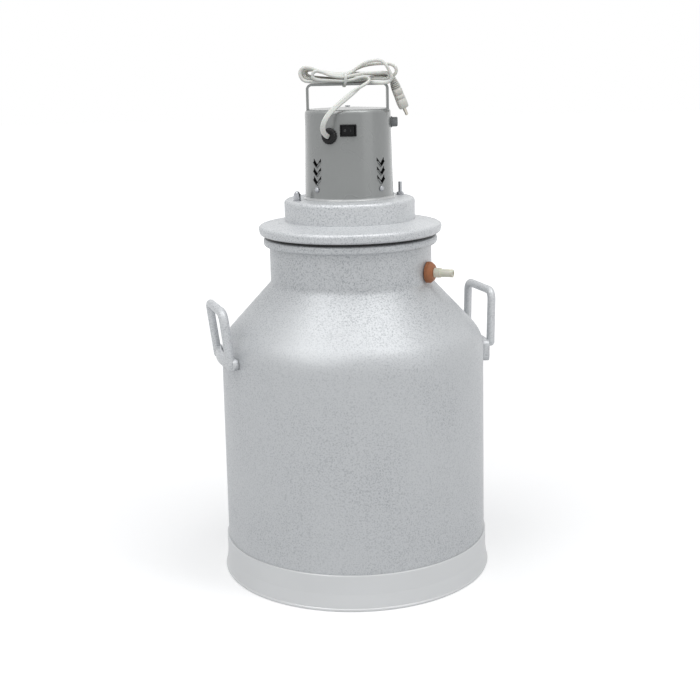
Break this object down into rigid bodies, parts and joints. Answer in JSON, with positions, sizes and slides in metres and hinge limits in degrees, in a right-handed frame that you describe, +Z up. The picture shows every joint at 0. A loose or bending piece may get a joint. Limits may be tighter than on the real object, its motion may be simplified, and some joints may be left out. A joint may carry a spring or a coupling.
{
  "type": "electric butter churn",
  "caption": "Electric butter churn: a metal milk can with a lid-mounted motor in a louvred cover, a stirring shaft with an impeller, two side handles, a drain nozzle and a coiled cord.",
  "frame": {"origin": "centre of the can's base on the floor", "axes": "+Z up along the can's axis, -Y towards the front with the switch, +X to the right as seen from the front"},
  "size_m": [0.3837, 0.3652, 0.6769],
  "materials": {
    "can_paint": "silver-grey hammertone enamel",
    "foot_paint": "smooth silver-grey enamel",
    "cover_paint": "glossy mid grey enamel",
    "zinc": "zinc-plated steel",
    "stainless": "bright stainless steel",
    "cast_aluminium": "as cast",
    "core_steel": "stacked electrical steel",
    "copper": "enamelled copper wire",
    "bronze": "sintered bronze",
    "pin_brass": "nickel-plated brass",
    "red_rubber": "red-brown rubber",
    "black_rubber": "black rubber",
    "black_plastic": "black moulded plastic",
    "cap_plastic": "dark grey moulded plastic",
    "cream_plastic": "cream moulded plastic",
    "fan_plastic": "dark moulded plastic",
    "capacitor_plastic": "white plastic case",
    "cord_white": "off-white flexible PVC"
  },
  "bodies": {
    "can": {"can_wall": "can_paint", "can_shoulder": "can_paint", "can_neck": "can_paint", "can_bottom": "can_paint", "foot_ring": "foot_paint", "can_handle_left": "can_paint", "can_handle_right": "can_paint", "nozzle_grommet": "red_rubber", "nozzle": "cream_plastic", "nozzle_locknut": "cream_plastic"},
    "lid": {"lid_plate": "can_paint", "lid_skirt": "stainless", "lid_gasket": "black_rubber", "motor_platform": "can_paint", "clamp_studs": "zinc", "clamp_washers": "zinc", "clamp_nuts": "zinc", "motor_cover": "cover_paint", "cover_brackets": "zinc", "cover_screws": "zinc", "cover_handle": "cover_paint", "cord_gland": "black_rubber", "switch_housing": "black_plastic", "fuse_holder": "cap_plastic", "fuse_nut": "cap_plastic", "lower_end_shield": "cast_aluminium", "upper_end_shield": "cast_aluminium", "stator_core": "core_steel", "stator_windings": "copper", "through_bolts": "zinc", "motor_screws": "zinc", "bearing_outer_races": "stainless", "run_capacitor": "capacitor_plastic", "capacitor_clip": "zinc", "shaft_bush": "bronze", "shaft_seal": "black_rubber", "bush_screws": "zinc", "cord_lead": "cord_white", "cord_hank": "cord_white", "cord_tie": "cord_white", "plug_body": "cord_white", "plug_pins": "pin_brass"},
    "rotor": {"bearing_inner_races": "stainless", "bearing_balls": "stainless", "rotor_core": "core_steel", "rotor_end_rings": "cast_aluminium", "motor_shaft": "stainless", "cooling_fan": "fan_plastic", "shaft_coupling": "zinc", "coupling_screws": "zinc", "drive_shaft": "stainless", "impeller": "stainless", "impeller_nut": "stainless"},
    "rocker": {"switch_rocker": "black_plastic"},
    "fuse_cap_body": {"fuse_cap": "cap_plastic"}
  },
  "joints": [
    {"name": "lid_lift", "type": "slide", "parent": "can", "child": "lid", "axis": [0, 0, 1], "range_m": [0, 0.43]},
    {"name": "rotor_spin", "type": "hinge", "parent": "lid", "child": "rotor", "pos_m": [0, 0, 0.49], "axis": [0, 0, 1], "continuous": true},
    {"name": "rocker_tip", "type": "hinge", "parent": "lid", "child": "rocker", "pos_m": [0, -0.05654, 0.5925], "axis": [0, 0, 1], "range_deg": [0, 22]},
    {"name": "fuse_cap_turn", "type": "hinge", "parent": "lid", "child": "fuse_cap_body", "pos_m": [0.0587, 0, 0.5995], "axis": [1, 0, 0], "range_deg": [0, 90]}
  ]
}
